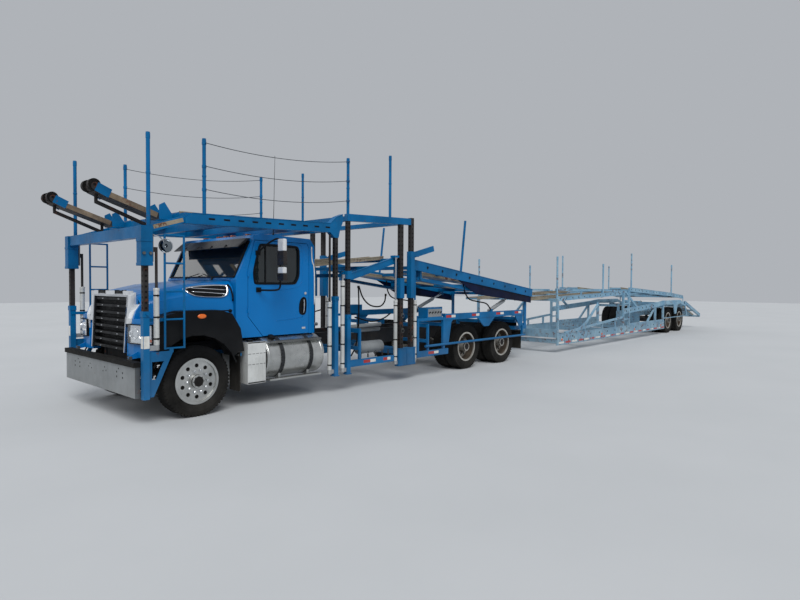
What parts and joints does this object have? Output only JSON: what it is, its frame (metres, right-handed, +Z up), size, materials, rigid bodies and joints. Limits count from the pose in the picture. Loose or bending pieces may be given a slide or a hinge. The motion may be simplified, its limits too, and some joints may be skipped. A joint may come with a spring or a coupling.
{
  "type": "articulated car transporter truck",
  "caption": "Conventional-cab car transporter: truck with its own loading decks on masts and cylinders, hinged to a low open semi-trailer with tilting decks.",
  "frame": {"origin": "on the floor under the middle of the rig's length, on its centre line", "axes": "+X forward, +Y to the truck's left, +Z up"},
  "size_m": [24.515, 2.89, 4],
  "materials": {
    "blue_paint": "gloss",
    "trailer_paint": "weathered satin",
    "chassis_paint": "satin",
    "worn_steel": "worn",
    "rusty_steel": "rusty",
    "cylinder_grey": "satin",
    "rod_steel": "polished",
    "aluminium": "bright",
    "rim_white": "satin",
    "tyre": "matte",
    "flap_rubber": "matte",
    "black_plastic": "matte",
    "chrome": "polished",
    "cab_trim": "matte",
    "glass": "clear",
    "engine_iron": "cast"
  },
  "bodies": {
    "truck": {"chassis_frame": "chassis_paint", "front_bumper": "worn_steel", "truck_axles": "chassis_paint", "engine_block": "engine_iron", "cab_shell": "blue_paint", "cab_glass": "glass", "cab_interior": "cab_trim", "fuel_tanks": "aluminium", "post_frames": "blue_paint", "mast_rails": "rusty_steel", "lift_barrels": "cylinder_grey", "side_frames": "blue_paint", "mud_flaps": "flap_rubber"},
    "door_left": {"door_left": "blue_paint", "door_glass_left": "glass", "mirror_left": "chrome"},
    "door_right": {"door_right": "blue_paint", "door_glass_right": "glass", "mirror_right": "chrome"},
    "hood": {"hood": "blue_paint", "grille": "black_plastic", "hood_trim": "chrome", "fender_flares": "black_plastic"},
    "knuckle_left": {"knuckle_left": "chassis_paint"},
    "knuckle_right": {"knuckle_right": "chassis_paint"},
    "head_deck": {"head_deck": "blue_paint", "head_masts": "rusty_steel"},
    "head_arms": {"head_arms": "rusty_steel"},
    "mid_deck": {"mid_deck": "blue_paint", "mid_rods": "rod_steel"},
    "rear_deck": {"rear_deck": "blue_paint"},
    "deck_carriage": {"deck_carriage": "blue_paint"},
    "flip_arms": {"flip_arms": "blue_paint"},
    "slant_barrels": {"slant_barrels": "cylinder_grey"},
    "slant_rods": {"slant_rods": "rod_steel"},
    "trailer": {"trailer_frame": "trailer_paint", "trailer_axles": "chassis_paint"},
    "trailer_front_deck": {"trailer_front_deck": "trailer_paint"},
    "trailer_rear_deck": {"trailer_rear_deck": "trailer_paint"},
    "tail_ramp": {"tail_ramp": "trailer_paint"},
    "front_wheel_left": {"front_tyre_left": "tyre", "front_rim_left": "aluminium"},
    "front_wheel_right": {"front_tyre_right": "tyre", "front_rim_right": "aluminium"},
    "drive_1_wheels_left": {"drive_1_tyres_left": "tyre", "drive_1_rims_left": "rim_white"},
    "drive_1_wheels_right": {"drive_1_tyres_right": "tyre", "drive_1_rims_right": "rim_white"},
    "drive_2_wheels_left": {"drive_2_tyres_left": "tyre", "drive_2_rims_left": "rim_white"},
    "drive_2_wheels_right": {"drive_2_tyres_right": "tyre", "drive_2_rims_right": "rim_white"},
    "trailer_1_wheels_left": {"trailer_1_tyres_left": "tyre", "trailer_1_rims_left": "rim_white"},
    "trailer_1_wheels_right": {"trailer_1_tyres_right": "tyre", "trailer_1_rims_right": "rim_white"},
    "trailer_2_wheels_left": {"trailer_2_tyres_left": "tyre", "trailer_2_rims_left": "rim_white"},
    "trailer_2_wheels_right": {"trailer_2_tyres_right": "tyre", "trailer_2_rims_right": "rim_white"}
  },
  "joints": [
    {"name": "steer_left", "type": "hinge", "parent": "truck", "child": "knuckle_left", "pos_m": [11.05, 0.85, 0.4645], "axis": [0, 0, 1], "range_deg": [-35, 35]},
    {"name": "steer_right", "type": "hinge", "parent": "truck", "child": "knuckle_right", "pos_m": [11.05, -0.85, 0.4645], "axis": [0, 0, 1], "range_deg": [-35, 35]},
    {"name": "front_wheel_left_spin", "type": "hinge", "parent": "knuckle_left", "child": "front_wheel_left", "pos_m": [11.05, 1.072, 0.4645], "axis": [0, 1, 0], "continuous": true},
    {"name": "front_wheel_right_spin", "type": "hinge", "parent": "knuckle_right", "child": "front_wheel_right", "pos_m": [11.05, -1.072, 0.4645], "axis": [0, 1, 0], "continuous": true},
    {"name": "drive_1_left_spin", "type": "hinge", "parent": "truck", "child": "drive_1_wheels_left", "pos_m": [5.05, 0.922, 0.4645], "axis": [0, 1, 0], "continuous": true},
    {"name": "drive_1_right_spin", "type": "hinge", "parent": "truck", "child": "drive_1_wheels_right", "pos_m": [5.05, -0.922, 0.4645], "axis": [0, 1, 0], "continuous": true},
    {"name": "drive_2_left_spin", "type": "hinge", "parent": "truck", "child": "drive_2_wheels_left", "pos_m": [3.69, 0.922, 0.4645], "axis": [0, 1, 0], "continuous": true},
    {"name": "drive_2_right_spin", "type": "hinge", "parent": "truck", "child": "drive_2_wheels_right", "pos_m": [3.69, -0.922, 0.4645], "axis": [0, 1, 0], "continuous": true},
    {"name": "trailer_1_left_spin", "type": "hinge", "parent": "trailer", "child": "trailer_1_wheels_left", "pos_m": [-7.95, 0.922, 0.4645], "axis": [0, 1, 0], "continuous": true},
    {"name": "trailer_1_right_spin", "type": "hinge", "parent": "trailer", "child": "trailer_1_wheels_right", "pos_m": [-7.95, -0.922, 0.4645], "axis": [0, 1, 0], "continuous": true},
    {"name": "trailer_2_left_spin", "type": "hinge", "parent": "trailer", "child": "trailer_2_wheels_left", "pos_m": [-9.3, 0.922, 0.4645], "axis": [0, 1, 0], "continuous": true},
    {"name": "trailer_2_right_spin", "type": "hinge", "parent": "trailer", "child": "trailer_2_wheels_right", "pos_m": [-9.3, -0.922, 0.4645], "axis": [0, 1, 0], "continuous": true},
    {"name": "door_left_hinge", "type": "hinge", "parent": "truck", "child": "door_left", "pos_m": [10.185, 1.025, 1.5], "axis": [0, 0, -1], "range_deg": [0, 70]},
    {"name": "door_right_hinge", "type": "hinge", "parent": "truck", "child": "door_right", "pos_m": [10.185, -1.025, 1.5], "axis": [0, 0, 1], "range_deg": [0, 70]},
    {"name": "hood_tilt", "type": "hinge", "parent": "truck", "child": "hood", "pos_m": [11.79, 0, 0.809], "axis": [0, 1, 0], "range_deg": [0, 35]},
    {"name": "head_deck_lift", "type": "slide", "parent": "truck", "child": "head_deck", "axis": [0, 0, 1], "range_m": [0, 0.4]},
    {"name": "head_arms_tilt", "type": "hinge", "parent": "head_deck", "child": "head_arms", "pos_m": [11.38, 0, 2.6], "axis": [0, -1, 0], "range_deg": [-10, 15]},
    {"name": "mid_deck_lift", "type": "slide", "parent": "truck", "child": "mid_deck", "axis": [0, 0, 1], "range_m": [0, 0.3]},
    {"name": "rear_deck_tilt", "type": "hinge", "parent": "truck", "child": "rear_deck", "pos_m": [2.5, 0, 1.5], "axis": [0, -1, 0], "range_deg": [-6.5, 3]},
    {"name": "deck_carriage_lift", "type": "slide", "parent": "truck", "child": "deck_carriage", "axis": [0, 0, 1], "range_m": [-0.5, 0.24]},
    {"name": "flip_arms_tilt", "type": "hinge", "parent": "deck_carriage", "child": "flip_arms", "pos_m": [6.72, 0, 2.3], "axis": [0, -1, 0], "range_deg": [-10, 20]},
    {"name": "slant_barrels_tilt", "type": "hinge", "parent": "truck", "child": "slant_barrels", "pos_m": [4, 0, 1.18], "axis": [0, -1, 0], "range_deg": [-4, 6]},
    {"name": "trailer_yaw", "type": "hinge", "parent": "truck", "child": "trailer", "pos_m": [2.15, 0, 0.46], "axis": [0, 0, 1], "range_deg": [-45, 45]},
    {"name": "slant_rods_slide", "type": "slide", "parent": "slant_barrels", "child": "slant_rods", "axis": [-0.9415, 0, 0.337], "range_m": [-0.06, 0.06]},
    {"name": "trailer_front_deck_tilt", "type": "hinge", "parent": "trailer", "child": "trailer_front_deck", "pos_m": [1.09, 0, 1.33], "axis": [0, 1, 0], "range_deg": [0, 5]},
    {"name": "trailer_rear_deck_tilt", "type": "hinge", "parent": "trailer", "child": "trailer_rear_deck", "pos_m": [-9.55, 0, 1.3], "axis": [0, -1, 0], "range_deg": [0, 5]},
    {"name": "tail_ramp_tilt", "type": "hinge", "parent": "trailer", "child": "tail_ramp", "pos_m": [-9.95, 0, 1.12], "axis": [0, 1, 0], "range_deg": [-5, 30]}
  ],
  "couplings": [
    {"joint": "steer_right", "follows": "steer_left", "ratio": 1},
    {"joint": "deck_carriage_lift", "follows": "rear_deck_tilt", "m_per_rad": 4.385},
    {"joint": "slant_barrels_tilt", "follows": "rear_deck_tilt", "ratio": -0.506},
    {"joint": "slant_rods_slide", "follows": "rear_deck_tilt", "m_per_rad": 0.204}
  ]
}
